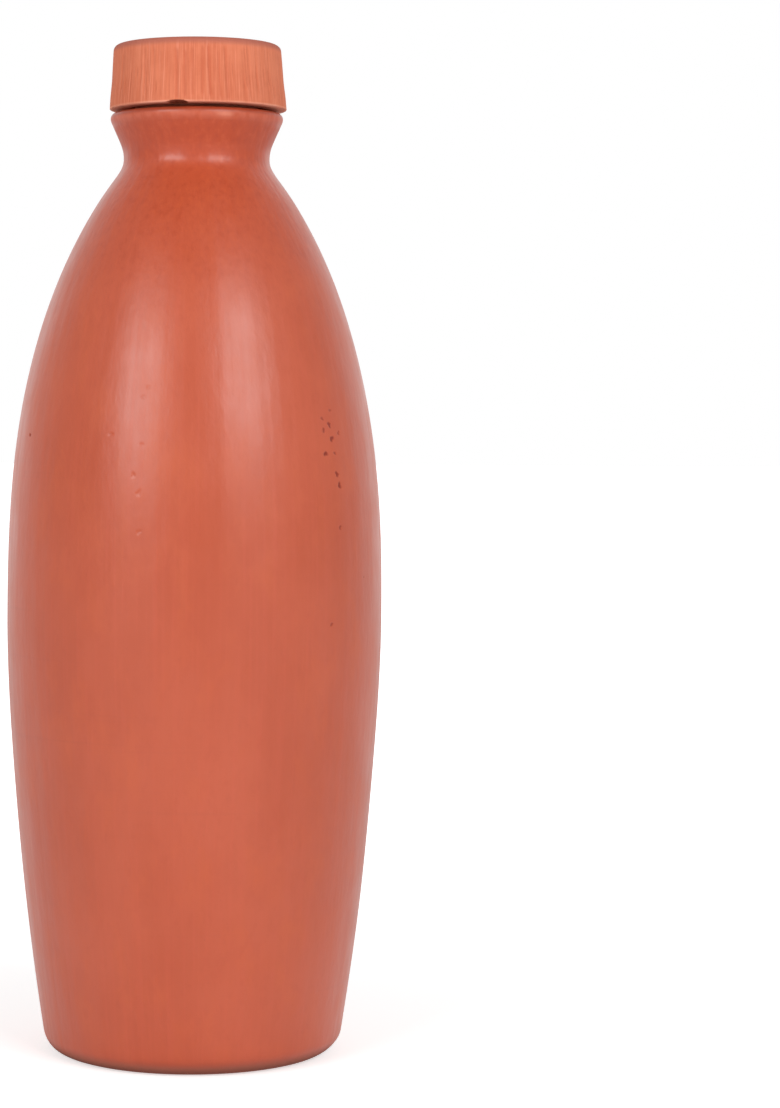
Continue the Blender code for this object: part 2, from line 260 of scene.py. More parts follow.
def wall_inside():
    """The inside of the wall, from the inner heel up to the waist."""
    outside = wall_outside()[::3]
    inside = []
    for i, point in enumerate(outside):
        along = (outside[min(i + 1, len(outside) - 1)] - outside[max(i - 1, 0)]).normalized()
        share = min(max((point.z - SHOULDER_Z) / WAIST_RISE, 0), 1)
        inside.append(point + Vector((-along.z, 0, along.x)) * (WALL + (NECK_WALL - WALL) * share))
    return [point for point in inside if FLOOR_Z + INNER_HEEL < point.z < WAIST_Z - 0.001]


def body_outline():
    """The body's outline, in two stretches: the raw inside with the threaded end, then the outside."""
    wall = wall_inside()
    inner_heel = at(wall[0].x - 0.0006, FLOOR_Z + INNER_HEEL)
    floor_edge = at(inner_heel.x - INNER_HEEL, FLOOR_Z)
    rim_inside = at(MOUTH_RADIUS, RIM_Z - RIM_ROUND)
    rim_start = at(MOUTH_RADIUS + RIM_ROUND, RIM_Z)
    rim_end = at(FINISH_RADIUS - RIM_ROUND, RIM_Z)
    rim_outside = at(FINISH_RADIUS, RIM_Z - RIM_ROUND)
    root = at(FINISH_RADIUS, COLLAR_Z + ROOT_ROUND)
    root_end = at(FINISH_RADIUS + ROOT_ROUND, COLLAR_Z)
    raw = joined(
        line(at(0, FLOOR_Z), floor_edge, step=0.003),
        bend(floor_edge, OUT * INNER_HEEL * 0.6, inner_heel, UP * INNER_HEEL * 0.5, steps=12),
        wall,
        line(at(MOUTH_RADIUS, WAIST_Z), rim_inside, step=0.0015),
        rounded(rim_inside, at(MOUTH_RADIUS, RIM_Z), rim_start),
        line(rim_start, rim_end, step=0.0005),
        rounded(rim_end, at(FINISH_RADIUS, RIM_Z), rim_outside),
        line(rim_outside, root, step=0.0002),
        rounded(root, at(FINISH_RADIUS, COLLAR_Z), root_end),
    )
    waist = at(WAIST_RADIUS, WAIST_Z)
    flare_end = at(CAP_RADIUS - COLLAR_SETBACK, COLLAR_Z - 2 * COLLAR_EDGE)
    rise = flare_end.z - WAIST_Z
    opening_out = leaning(COLLAR_LEAN)
    seat_edge = at(CAP_RADIUS - COLLAR_SETBACK - COLLAR_EDGE, COLLAR_Z)
    upward = joined(
        wall_outside(),
        wall_bend(waist, UP, flare_end, opening_out, rise, FLARE_REACH, FLARE_STEPS),
        bend(flare_end, opening_out * COLLAR_EDGE * 1.3, seat_edge, -OUT * COLLAR_EDGE, steps=10),
        line(seat_edge, root_end, step=0.0006),
    )
    heel = at(FOOT_RADIUS + HEEL_OVERHANG, HEEL_HEIGHT)
    hollow = FOOT_RADIUS - FOOT_RING
    recess = at(hollow - FOOT_BEVEL * 2, FOOT_RECESS)
    burnished = joined(
        upward[::-1],
        bend(heel, -leaning(HEEL_LEAN) * HEEL_REACH, at(FOOT_RADIUS, 0), -OUT * HEEL_REACH, steps=14),
        line(at(FOOT_RADIUS, 0), at(hollow, 0), step=0.0012),
        rounded(at(hollow, 0), at(hollow - FOOT_BEVEL, 0), recess),
        line(recess, at(0, FOOT_RECESS), step=0.002),
    )
    return raw, burnished


def cap_outline():
    """The cap's outline, in two stretches: top, skirt and lip, then the bore and the ceiling."""
    top_radius = CAP_RADIUS - CAP_TAPER
    top_end = at(top_radius - CAP_EDGE, CAP_TOP_Z)
    edge_end = at(top_radius + CAP_TAPER * CAP_EDGE / CAP_HEIGHT, CAP_TOP_Z - CAP_EDGE)
    lip_outside = at(CAP_RADIUS - CAP_TAPER * LIP_EDGE / CAP_HEIGHT, LIP_Z + LIP_EDGE)
    lip_start = at(CAP_RADIUS - LIP_EDGE, LIP_Z)
    lip_end = at(CAP_BORE + LIP_ROUND, LIP_Z)
    lip_inside = at(CAP_BORE, LIP_Z + LIP_ROUND)
    ceiling_edge = at(CAP_BORE, CEILING_Z)
    shown = joined(
        line(at(0, CAP_TOP_Z), top_end, step=0.0013),
        rounded(top_end, at(top_radius, CAP_TOP_Z), edge_end),
        line(edge_end, lip_outside, step=0.0004),
        rounded(lip_outside, at(CAP_RADIUS, LIP_Z), lip_start, steps=5),
        line(lip_start, lip_end, step=0.0005),
    )
    bore = joined(
        rounded(lip_end, at(CAP_BORE, LIP_Z), lip_inside, steps=4),
        line(lip_inside, ceiling_edge, step=0.0003),
        line(ceiling_edge, at(0, CEILING_Z), step=0.003),
    )
    return shown, bore


def smooth(value, low, high):
    """An array's share of the way from low to high, eased at both ends."""
    share = np.clip((value - low) / (high - low), 0, 1)
    return share * share * (3 - 2 * share)


def angle_from(middle, angle):
    """An array's angles as counted from a middle, between minus and plus half a turn."""
    return np.mod(angle - middle + pi, 2 * pi) - pi


def waves(seed, count, most_round, most_up):
    """Random waves for a seamless unevenness: times round, waves per metre up, phase and size."""
    pick = Random(seed)
    made = []
    for _ in range(count):
        times = pick.randint(0, most_round)
        rate = pick.uniform(-most_up, most_up)
        phase = pick.uniform(0, 2 * pi)
        made.append((times, rate, phase, pick.uniform(0.5, 1)))
    return made


def unevenness(angle, height, made_of):
    """The sum of such waves, which mostly stays between -1 and 1."""
    total = 0
    for times, rate, phase, size in made_of:
        total = total + size * np.cos(times * angle + 2 * pi * rate * height + phase)
    return total / sqrt(len(made_of))


def ridge_height(angle, height, low, high, start_z):
    """How far a thread's round ridge stands out of its wall at each place.

    The ridge climbs along the right-handed helix that passes start_z at +X, from low to high.
    """
    turned = np.mod(angle - pi / 2, 2 * pi)
    turns = np.round((height - start_z) / THREAD_LEAD - turned / (2 * pi)) + turned / (2 * pi)
    middle = start_z + turns * THREAD_LEAD
    lead_in = THREAD_LEAD * THREAD_FADE / (2 * pi)
    share = smooth(middle, low, low + lead_in) * smooth(-middle, -high, lead_in - high)
    across = np.clip(1 - ((height - middle) / THREAD_RIDGE) ** 2, 0, 1)
    return share * np.clip(THREAD_RIDGE * np.sqrt(across) - (THREAD_RIDGE - THREAD_HEIGHT), 0, None)


def lattice(outline, sides):
    """Radius, height and angle of every point of a turned surface, one row for each outline point."""
    shape = (len(outline), sides)
    radius = np.repeat([[point.x] for point in outline], sides, 1)
    height = np.repeat([[point.z] for point in outline], sides, 1)
    return radius, height, np.broadcast_to(np.arange(sides) * 2 * pi / sides, shape)


def turned_mesh(name, radius, height, angle, aside=0, closed=False, **values):
    """A mesh from a lattice, moved aside in X, with each named value kept on its points."""
    rows, sides = radius.shape
    points = np.stack([radius * np.sin(angle) + aside, -radius * np.cos(angle), height], -1)
    number = np.arange(rows * sides).reshape(rows, sides)
    if closed:
        number = np.vstack([number, number[:1]])
    after = np.roll(number, -1, 1)
    faces = np.stack([number[:-1], number[1:], after[1:], after[:-1]], -1).reshape(-1, 4)
    mesh = bpy.data.meshes.new(name)
    mesh.from_pydata(points.reshape(-1, 3), [], faces)
    for key, value in values.items():
        mesh.attributes.new(key, "FLOAT", "POINT").data.foreach_set("value", value.ravel().astype(np.float32))
    shell = bmesh.new()
    shell.from_mesh(mesh)
    bmesh.ops.remove_doubles(shell, verts=shell.verts, dist=1e-7)
    bmesh.ops.recalc_face_normals(shell, faces=shell.faces)
    shell.to_mesh(mesh)
    shell.free()
    mesh.shade_smooth()
    return mesh


def coordinates(mesh):
    """Radius, height and angle of a mesh's points."""
    flat = np.empty(len(mesh.vertices) * 3, np.float32)
    mesh.vertices.foreach_get("co", flat)
    x, y, z = flat.reshape(-1, 3).T.astype(float)
    return np.hypot(x, y), z, np.arctan2(x, -y)


def hollows(angle, height, radius, places):
    """How deep the pits or dents are at each place, and how far into one it is, from 0 to 1."""
    deep = np.zeros_like(height)
    inside = np.zeros_like(height)
    for i, (degrees, millimetres, width, depth) in enumerate(places):
        across = angle_from(radians(degrees), angle) * radius
        up = height - millimetres / 1000
        turn = np.arctan2(up, across)
        ragged = 1 + 0.22 * np.cos(2 * turn + i) + 0.14 * np.cos(3 * turn + 2.3 * i)
        away = np.hypot(across, up) / (width / 2000 * ragged)
        deep = np.maximum(deep, depth / 1000 * (1 - smooth(away, 0, 1.2)))
        inside = np.maximum(inside, (1 - smooth(away, 0.6, 1.25)) * min(depth / 0.3, 1))
    return deep, inside


def more_pits(seed, count):
    """Small pits scattered round the sides and back, where the front has none."""
    pick = Random(seed)
    return [
        (pick.uniform(85, 275), pick.uniform(25, 205), pick.uniform(0.4, 0.8), pick.uniform(0.12, 0.3))
        for _ in range(count)
    ]


def refine(mesh, places, reach, cuts):
    """Divide the faces of the outer wall that lie within reach of one of these places."""
    shell = bmesh.new()
    shell.from_mesh(mesh)
    shell.faces.ensure_lookup_table()
    middles = np.array([face.calc_center_median() for face in shell.faces])
    near = np.zeros(len(middles), bool)
    for degrees, millimetres, *_ in places:
        spot_z = millimetres / 1000
        radius = np.interp(spot_z, WALL_HEIGHTS, WALL_RADII)
        spot = (radius * sin(radians(degrees)), -radius * cos(radians(degrees)), spot_z)
        near |= np.linalg.norm(middles - spot, axis=1) < reach
    edges = {edge for i in np.flatnonzero(near) for edge in shell.faces[i].edges}
    bmesh.ops.subdivide_edges(shell, edges=list(edges), cuts=cuts, use_grid_fill=True, use_single_edge=True)
    shell.to_mesh(mesh)
    shell.free()
    mesh.shade_smooth()


def piece(name, mesh, look, node, body):
    """A finished piece that stands for a node of the part and rides on its body."""
    mesh.materials.append(look)
    made = bpy.data.objects.new(name, mesh)
    bpy.context.scene.collection.objects.link(made)
    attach(made, body)
    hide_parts(node)
    return made


def body_marks(radius, height, angle, outside):
    """How far each place of the body is burnished, and how far it carries wear with painted highlight,
    painted shade under the cap, a painted glint and painted shade at the heel, from 0 to 1.
    """
    seat = np.where(height > COLLAR_Z - 1e-6, smooth(radius, *SEAT_SHINE), 1)
    burnish = np.where(outside, smooth(height, 0.0002, 0.004) * seat, 0)
    # The collar's edge: wear with a painted highlight, then painted shade under the cap's lip
    collar_edge = np.where(outside, smooth(radius, *COLLAR_EDGE_MARKS), 0)
    over_band = smooth(height, *COLLAR_SHADE_BAND)
    wear_and_highlight = collar_edge * smooth(height, *WEAR_AND_HIGHLIGHT_BAND) * (1 - over_band)
    painted_collar_shade = collar_edge * over_band
    # A painted glint on the collar's edge
    from_glint = angle_from(GLINT_ANGLE, angle) / GLINT_HALF_WIDTH
    painted_glint = wear_and_highlight ** 3 * np.clip(1 - from_glint ** 2, 0, 1)
    # Painted shade at the heel: darker towards the bottom, where the floor lights it little
    out_of_foot = smooth(radius, FOOT_RADIUS - 0.001, FOOT_RADIUS + 0.001)
    painted_heel_shade = np.where(outside, (1 - smooth(height, 0.0006, 0.0046)) * out_of_foot, 0)
    return {"burnish": burnish, "wear_and_highlight": wear_and_highlight, "painted_collar_shade": painted_collar_shade, "painted_glint": painted_glint, "painted_heel_shade": painted_heel_shade}


def settle_wall(mesh, pits):
    """Set the burnished wall's points on its curve, a little uneven, and sink the pits and dents in it."""
    radius, height, angle = coordinates(mesh)
    burnish = np.empty(len(radius), np.float32)
    mesh.attributes["burnish"].data.foreach_get("value", burnish)
    on_wall = (burnish > 0.999) & (height > HEEL_HEIGHT) & (height < WAIST_Z)
    fades = smooth(height, HEEL_HEIGHT, 0.02) * (1 - smooth(height, SHOULDER_Z, WAIST_Z))
    made_of = waves(seed=3, count=14, most_round=5, most_up=18)
    settled = np.interp(height, WALL_HEIGHTS, WALL_RADII)
    settled = settled + WALL_UNEVEN * fades * unevenness(angle, height, made_of)
    deep, pit = hollows(angle, height, settled, pits)
    dented, _ = hollows(angle, height, settled, DENTS)
    radius = np.where(on_wall, settled - deep - dented, radius)
    points = np.stack([radius * np.sin(angle), -radius * np.cos(angle), height], -1)
    mesh.vertices.foreach_set("co", points.astype(np.float32).ravel())
    pit = np.where(on_wall, pit, 0).astype(np.float32)
    mesh.attributes.new("pit", "FLOAT", "POINT").data.foreach_set("value", pit)
    mesh.update()


def make_body(look):
    """The vessel: a slightly uneven burnished wall with pits, the raw inside and the neck's thread."""
    raw, burnished = body_outline()
    outline = joined(raw, burnished)
    radius, height, angle = lattice(outline, BODY_SIDES)
    outside = np.arange(len(outline))[:, None] >= len(raw)

    thread = ridge_height(angle, height, NECK_THREAD_Z, RIM_Z - RIM_ROUND - THREAD_RIDGE, NECK_THREAD_Z)
    threaded = (np.abs(radius - FINISH_RADIUS) < 1e-5) & (height > COLLAR_Z)
    cavity = ~outside & (height < WAIST_Z) & (height > FLOOR_Z + 0.004)
    throwing = THROWING_RING * np.cos(2 * pi * height / THROWING_PITCH + angle)
    radius = radius + np.where(threaded, thread, 0)
    radius = radius + np.where(cavity, throwing * (1 - smooth(height, SHOULDER_Z, WAIST_Z)), 0)
    marks = body_marks(radius, height, angle, outside)

    toward_wear = np.clip(np.cos(angle - HEEL_WEAR_ANGLE), 0, 1) ** 2
    low_and_out = (1 - smooth(height, 0, HEEL_HEIGHT)) * smooth(radius, FOOT_RADIUS - 0.003, FOOT_RADIUS)
    radius = radius - np.where(outside, HEEL_WEAR * toward_wear * low_and_out, 0)
    mesh = turned_mesh("body", radius, height, angle, **marks)
    pits = PITS + more_pits(seed=11, count=14)
    refine(mesh, pits + DENTS, PIT_REACH, PIT_CUTS)
    settle_wall(mesh, pits)
    return piece("burnished_body", mesh, look, "bottle_body", "bottle")


def flute_cuts(angle, height, up):
    """How deep the flutes, and the scratches among them, are at each place. No two are alike."""
    pick = Random(5)
    cut = np.zeros_like(height)
    for i in range(FLUTES + SCRATCHES):
        low = LIP_Z + LIP_BAND
        high = CAP_TOP_Z - TOP_BAND
        if i < FLUTES:
            middle = 2 * pi * (i + 0.5 + pick.uniform(-0.16, 0.16)) / FLUTES
            half_width = pick.uniform(0.00032, 0.0007)
            depth = pick.uniform(0.00008, 0.00034) * (0.6 + 0.4 * cos(3 * middle - 0.1))
            low += pick.uniform(-0.0006, 0.0008)
            high += pick.uniform(-0.0012, 0.0008)
        else:
            middle = pick.uniform(0, 2 * pi)
            half_width = pick.uniform(0.00026, 0.0004)
            depth = pick.uniform(0.00006, 0.00022)
            low += pick.uniform(-0.0005, 0.007)
            high = min(low + pick.uniform(0.003, 0.011), high + 0.0012)
        slant = pick.uniform(-0.025, 0.025)
        across = np.abs(angle_from(middle + slant * (up - 0.5), angle)) * CAP_RADIUS / half_width
        starts = smooth(height, low - 0.0008, low + 0.0008)
        along = starts * (1 - smooth(height, high - 0.0012, high + 0.0005))
        cut = np.maximum(cut, depth * along * np.clip(1 - across ** 2, 0, 1))
    return cut


def chip_bite(radius, angle):
    """How far up the chip in the lip reaches at each place."""
    across = angle_from(CHIP_ANGLE, angle) / CHIP_HALF_WIDTH
    ragged = 1 + 0.1 * np.cos(31 * angle) + 0.08 * np.cos(53 * angle + 1)
    broken = smooth(radius, CAP_BORE + 0.0004, CAP_BORE + 0.0022)
    return CHIP_HEIGHT * np.clip(1 - across ** 2, 0, 1) * ragged * broken


def make_cap(look):
    """The cap: hand-cut flutes round its skirt, a chip in its lip, and the thread in its bore.

    Outside it is a little uneven, and its lip sits slightly to one side of its top.
    """
    shown, bore = cap_outline()
    outline = joined(shown, bore)
    radius, height, angle = lattice(outline, CAP_SIDES)
    outside = np.arange(len(outline))[:, None] < len(shown)
    up = (height - LIP_Z) / CAP_HEIGHT

    on_skirt = outside & (radius > CAP_RADIUS - CAP_TAPER - 0.0008)
    cut = np.where(on_skirt, flute_cuts(angle, height, up), 0)
    drawn_in = SKIRT_DRAWN_IN * smooth(up, 0.15, 0.5) * smooth(radius, 0.018, 0.021)
    radius = radius - cut - np.where(outside, drawn_in, 0)

    thread = ridge_height(
        angle,
        height,
        LIP_Z + LIP_ROUND + THREAD_MARGIN + THREAD_RIDGE,
        WASHER_LOW.z - THREAD_MARGIN - THREAD_RIDGE,
        NECK_THREAD_Z - RIDGES_APART,
    )
    in_bore = ~outside & (np.abs(radius - CAP_BORE) < 1e-5)
    radius = radius - np.where(in_bore, thread, 0)
    far_out = smooth(radius, CAP_BORE + 0.0008, CAP_RADIUS - 0.0008)

    # The chip: what lies below its edge moves up to it, and no farther out than the skirt is there
    bite = chip_bite(radius, angle)
    chipped = outside & (height < LIP_Z + bite)
    chip = np.where(chipped, smooth(bite, 0, 0.0003), 0)
    sound = CAP_RADIUS - CAP_TAPER * bite / CAP_HEIGHT - 0.06 * (LIP_Z + bite - height)
    radius = np.where(chipped, np.minimum(radius, sound), radius)
    height = np.where(chipped, LIP_Z + bite, height)
    up = (height - LIP_Z) / CAP_HEIGHT

    made_of = waves(seed=8, count=10, most_round=6, most_up=60)
    shaky = CAP_UNEVEN * unevenness(angle, height, made_of)
    radius = radius + np.where(outside & (radius > 0.01), shaky, 0)
    # A painted highlight: a pale line along the lip's round edge
    wear_and_highlight = np.where(on_skirt, (1 - smooth(up, 0.015, 0.038)) * (1 - chip), 0)
    top_edge = smooth(up, 0.86, 0.95) * smooth(radius, CAP_RADIUS - 0.0036, CAP_RADIUS - 0.0025)
    marks = {
        # The chip's face is painted dark: painted shade, as of the gap it opens
        "chip": chip,
        # Painted shade in the flutes and scratches, darker where they are cut deeper
        "painted_groove_shade": cut / FULL_GROOVE,
        "wear_and_highlight": wear_and_highlight,
        "shaded": np.where(outside, top_edge, 0),
        # Painted light under the lip, which makes the shaded gap lighter
        "painted_light_under_lip": np.where(height < LIP_Z + 0.0001, 1 - chip, 0),
        "side": np.where(outside, smooth(radius, CAP_RADIUS - 0.0045, CAP_RADIUS - 0.003), 0),
    }
    height = height + np.where(outside, LIP_LIFT * far_out * (1 - smooth(up, 0, 0.08)), 0)
    aside = np.where(outside, far_out * (1 - up), 0) * LIP_ASIDE
    mesh = turned_mesh("cap", radius, height, angle, aside, **marks)
    return piece("raw_clay_cap", mesh, look, "screw_cap", "cap")


def make_washer(look):
    """The washer: a moulded ring with round edges."""
    low, high = WASHER_LOW.z, WASHER_HIGH.z
    outer = WASHER_HIGH.x
    inner = MOUTH_RADIUS + WASHER_EASE
    corners = [at(outer, high), at(outer, low), at(inner, low), at(inner, high)]
    outline = []
    for i, corner in enumerate(corners):
        before = (corners[i - 1] - corner).normalized() * WASHER_ROUND
        after = (corners[(i + 1) % 4] - corner).normalized() * WASHER_ROUND
        outline += rounded(corner + before, corner, corner + after, steps=6)
    radius, height, angle = lattice(outline, WASHER_SIDES)
    mesh = turned_mesh("washer", radius, height, angle, closed=True)
    return piece("silicone_washer", mesh, look, "sealing_washer", "seal")


def linear(colour):
    """An sRGB colour, from 0 to 255, as the linear colour that a shader takes."""
    return (*(((c / 255 + 0.055) / 1.055) ** 2.4 for c in colour), 1)


class Nodes:
    """A node tree, built one node a line. An input takes a value or another node's output."""

    def __init__(self, tree):
        self.tree = tree

    def add(self, kind, inputs=(), output=0, **settings):
        node = self.tree.nodes.new("ShaderNode" + kind)
        for name, value in settings.items():
            setattr(node, name, value)
        for name, value in dict(inputs).items():
            self.feed(node, name, value)
        return node.outputs[output]

    def feed(self, node, name, value):
        if isinstance(value, bpy.types.NodeSocket):
            self.tree.links.new(value, node.inputs[name])
        else:
            node.inputs[name].default_value = value

    def value(self, name):
        """A value kept on the mesh's points."""
        return self.add("Attribute", output="Fac", attribute_name=name)

    def place(self, x, y, z):
        """Where a point is, in the frame's metres times these factors."""
        here = self.add("TexCoord", output="Object")
        return self.add("VectorMath", {0: here, 1: (x, y, z)}, operation="MULTIPLY")

    def around(self, round_scale, up_scale):
        """A seamless place on a turned surface: its direction from the axis, and its height."""
        flat = self.place(1, 1, 0)
        direction = self.add("VectorMath", {0: flat}, operation="NORMALIZE")
        scaled = self.add("VectorMath", {0: direction, 1: (round_scale,) * 3}, operation="MULTIPLY")
        rise = self.place(0, 0, up_scale)
        return self.add("VectorMath", {0: scaled, 1: rise}, operation="ADD")

    def noise(self, vector, scale=1, detail=2, rough=0.5):
        inputs = {"Vector": vector, "Scale": scale, "Detail": detail, "Roughness": rough}
        return self.add("TexNoise", inputs, output="Fac")

    def span(self, value, low, high, to_low=0.0, to_high=1.0):
        """A value from low to high as one from to_low to to_high."""
        inputs = {"Value": value, "From Min": low, "From Max": high, "To Min": to_low, "To Max": to_high}
        return self.add("MapRange", inputs, interpolation_type="SMOOTHSTEP")

    def sum(self, *values):
        total = values[0]
        for value in values[1:]:
            total = self.add("Math", {0: total, 1: value}, operation="ADD")
        return total

    def times(self, one, other):
        return self.add("Math", {0: one, 1: other}, operation="MULTIPLY")

    def mix(self, share, one, other):
        inputs = {0: share, 6: one, 7: other}
        return self.add("Mix", inputs, output=2, data_type="RGBA")

    def bump(self, height, distance, normal=None):
        inputs = {"Height": height, "Distance": distance, "Strength": 1.0}
        if normal is not None:
            inputs["Normal"] = normal
        return self.add("Bump", inputs)


def new_material(name):
    """A material's nodes and its Principled shader."""
    made = bpy.data.materials.new(name)
    made.use_nodes = True
    return made, Nodes(made.node_tree), made.node_tree.nodes["Principled BSDF"]


def burnished_clay():
    """Red clay rubbed to a soft shine with upright strokes, raw where the mesh says it isn't burnished."""
    made, n, shader = new_material("burnished clay")
    burnish = n.value("burnish")
    pit = n.value("pit")
    wear_and_highlight = n.value("wear_and_highlight")
    painted_heel_shade = n.value("painted_heel_shade")
    height = n.add("SeparateXYZ", {0: n.place(1, 1, 1)}, output="Z")
    cloud = n.noise(n.place(1, 1, 0.6), 34, 3, 0.55)
    patch = n.noise(n.place(1, 1, 0.5), 120, 3, 0.6)
    mottle = n.noise(n.place(1, 1, 0.5), 430, 2, 0.6)
    grain = n.noise(n.place(1, 1, 1), 1500, 3, 0.7)
    facets = n.noise(n.around(8, 6), 1, 1, 0.5)
    streaks = n.noise(n.around(36, 17), 1, 2, 0.55)
    turning = n.noise(n.around(0.35, 420), 1, 3, 0.6)

    # Clay in clouds, patches and upright strokes; towards the shoulder and neck it turns darker and redder,
    # which is painted shade
    colour = n.mix(n.span(cloud, 0.3, 0.7), linear((188, 79, 45)), linear((197, 88, 56)))
    colour = n.mix(n.span(patch, 0.45, 0.75, 0, 0.35), colour, linear((204, 93, 50)))
    colour = n.mix(n.span(streaks, 0.45, 0.75, 0, 0.2), colour, linear((204, 89, 62)))
    colour = n.mix(n.span(mottle, 0.3, 0.5, 0.12, 0), colour, linear((178, 70, 40)))
    colour = n.mix(n.span(height, 0.185, 0.235, 0, 0.8), colour, linear((189, 77, 44)))
    colour = n.mix(n.span(height, 0.235, 0.242, 0, 0.8), colour, linear((184, 65, 18)))
    # Flecks on the shoulder, lines from turning, and grain
    fleck = n.noise(n.place(1, 1, 0.6), 600, 2, 0.6)
    high_up = n.span(height, 0.17, 0.24, 0, 0.3)
    colour = n.mix(n.times(n.span(fleck, 0.3, 0.5, 1, 0), high_up), colour, linear((168, 58, 26)))
    colour = n.mix(n.times(n.span(fleck, 0.5, 0.7), high_up), colour, linear((204, 90, 48)))
    colour = n.mix(n.span(turning, 0.62, 0.8, 0, 0.15), colour, linear((170, 74, 50)))
    colour = n.mix(n.span(grain, 0.62, 0.78, 0, 0.3), colour, linear((168, 74, 50)))
    # Wear with painted highlight and a painted glint on the collar, painted shade under the cap, raw clay,
    # painted shade at the heel and the bottoms of the pits
    # Partly wear and partly painted highlight: a pale band on the collar's edge where the lamps' highlight
    # lies
    colour = n.mix(n.times(wear_and_highlight, n.span(mottle, 0.35, 0.6, 0.2, 0.5)), colour, linear((214, 112, 84)))
    # A painted glint: a pale spot on the collar's edge in place of a highlight
    colour = n.mix(n.times(n.value("painted_glint"), 0.38), colour, linear((244, 158, 128)))
    # Painted shade on the top of the collar's edge, under the cap's lip
    colour = n.mix(n.times(n.value("painted_collar_shade"), 0.5), colour, linear((140, 60, 42)))
    colour = n.mix(n.span(burnish, 0, 1, 1, 0), colour, linear((222, 138, 108)))
    # Painted shade at the heel, which is also made rougher
    colour = n.mix(n.times(painted_heel_shade, 0.85), colour, linear((112, 54, 42)))
    colour = n.mix(pit, colour, linear((142, 42, 12)))
    n.feed(shader, "Base Color", colour)

    # Rougher where it is raw, pitted, worn, or painted with shade at the heel, and a little rougher right
    # above the waist
    rough = n.span(streaks, 0.3, 0.7, 0.32, 0.35)
    rough = n.sum(rough, n.span(patch, 0.3, 0.7, -0.03, 0.05), n.span(burnish, 0, 1, 0.38, 0))
    rough = n.sum(rough, n.times(pit, 0.3), n.times(wear_and_highlight, 0.1), n.times(painted_heel_shade, 0.3))
    rough = n.sum(rough, n.times(n.span(height, 0.239, 0.243), n.span(height, 0.246, 0.2475, 0.12, 0)))
    n.feed(shader, "Roughness", rough)
    shader.inputs["IOR"].default_value = 1.55

    normal = n.bump(facets, 0.00018)
    normal = n.bump(streaks, 0.000016, normal)
    normal = n.bump(patch, 0.00012, normal)
    normal = n.bump(mottle, 0.00005, normal)
    normal = n.bump(n.times(mottle, n.span(height, 0.2, 0.23)), 0.00004, normal)
    normal = n.bump(turning, 0.000008, normal)
    normal = n.bump(grain, 0.000008, normal)
    n.feed(shader, "Normal", normal)
    return made


def raw_clay():
    """Unburnished clay, dry and powdery, with the scratches of the tool that cut the flutes."""
    made, n, shader = new_material("raw clay")
    painted_groove_shade = n.value("painted_groove_shade")
    chip = n.value("chip")
    wear_and_highlight = n.value("wear_and_highlight")
    side = n.value("side")
    cloud = n.noise(n.place(1, 1, 1), 90, 4, 0.6)
    grain = n.noise(n.place(1, 1, 1), 1800, 3, 0.7)
    scratch = n.noise(n.around(75, 50), 1, 2, 0.6)
    colour = n.mix(n.span(cloud, 0.3, 0.7), linear((212, 114, 80)), linear((225, 129, 95)))
    colour = n.mix(n.times(side, n.span(scratch, 0.52, 0.7, 0, 0.5)), colour, linear((240, 152, 124)))
    colour = n.mix(n.times(side, n.span(scratch, 0.3, 0.46, 0.35, 0)), colour, linear((198, 98, 66)))
    # Painted shade in the grooves
    colour = n.mix(n.times(painted_groove_shade, 0.4), colour, linear((186, 88, 58)))
    colour = n.mix(n.times(n.value("shaded"), 0.8), colour, linear((176, 101, 86)))
    # Painted light under the lip, against the gap's shade
    colour = n.mix(n.times(n.value("painted_light_under_lip"), 0.8), colour, linear((240, 160, 130)))
    # A painted highlight along the lip's round edge
    colour = n.mix(n.times(wear_and_highlight, n.span(cloud, 0.35, 0.6, 0.3, 0.75)), colour, linear((246, 172, 146)))
    colour = n.mix(n.span(grain, 0.6, 0.8, 0, 0.3), colour, linear((190, 96, 68)))
    # Painted shade on the chip's broken face
    colour = n.mix(n.times(chip, n.span(grain, 0.35, 0.65, 0.5, 0.9)), colour, linear((118, 50, 33)))
    n.feed(shader, "Base Color", colour)
    n.feed(shader, "Roughness", n.span(cloud, 0.3, 0.7, 0.76, 0.88))
    shader.inputs["Specular IOR Level"].default_value = 0.3
    normal = n.bump(n.times(side, scratch), 0.00006)
    normal = n.bump(cloud, 0.0001, normal)
    normal = n.bump(grain, 0.00002, normal)
    n.feed(shader, "Normal", normal)
    return made


def silicone():
    """Milky food-grade silicone, a little soft to light at its edges."""
    made, n, shader = new_material("silicone")
    cloud = n.noise(n.place(1, 1, 1), 160, 3, 0.5)
    dust = n.noise(n.place(1, 1, 1), 2200, 2, 0.6)
    colour = n.mix(n.span(cloud, 0.3, 0.7), linear((222, 216, 202)), linear((230, 226, 214)))
    n.feed(shader, "Base Color", colour)
    n.feed(shader, "Roughness", n.span(cloud, 0.3, 0.7, 0.5, 0.6))
    shader.inputs["Subsurface Weight"].default_value = 0.3
    shader.inputs["Subsurface Scale"].default_value = 0.001
    n.feed(shader, "Normal", n.bump(dust, 0.000006))
    return made


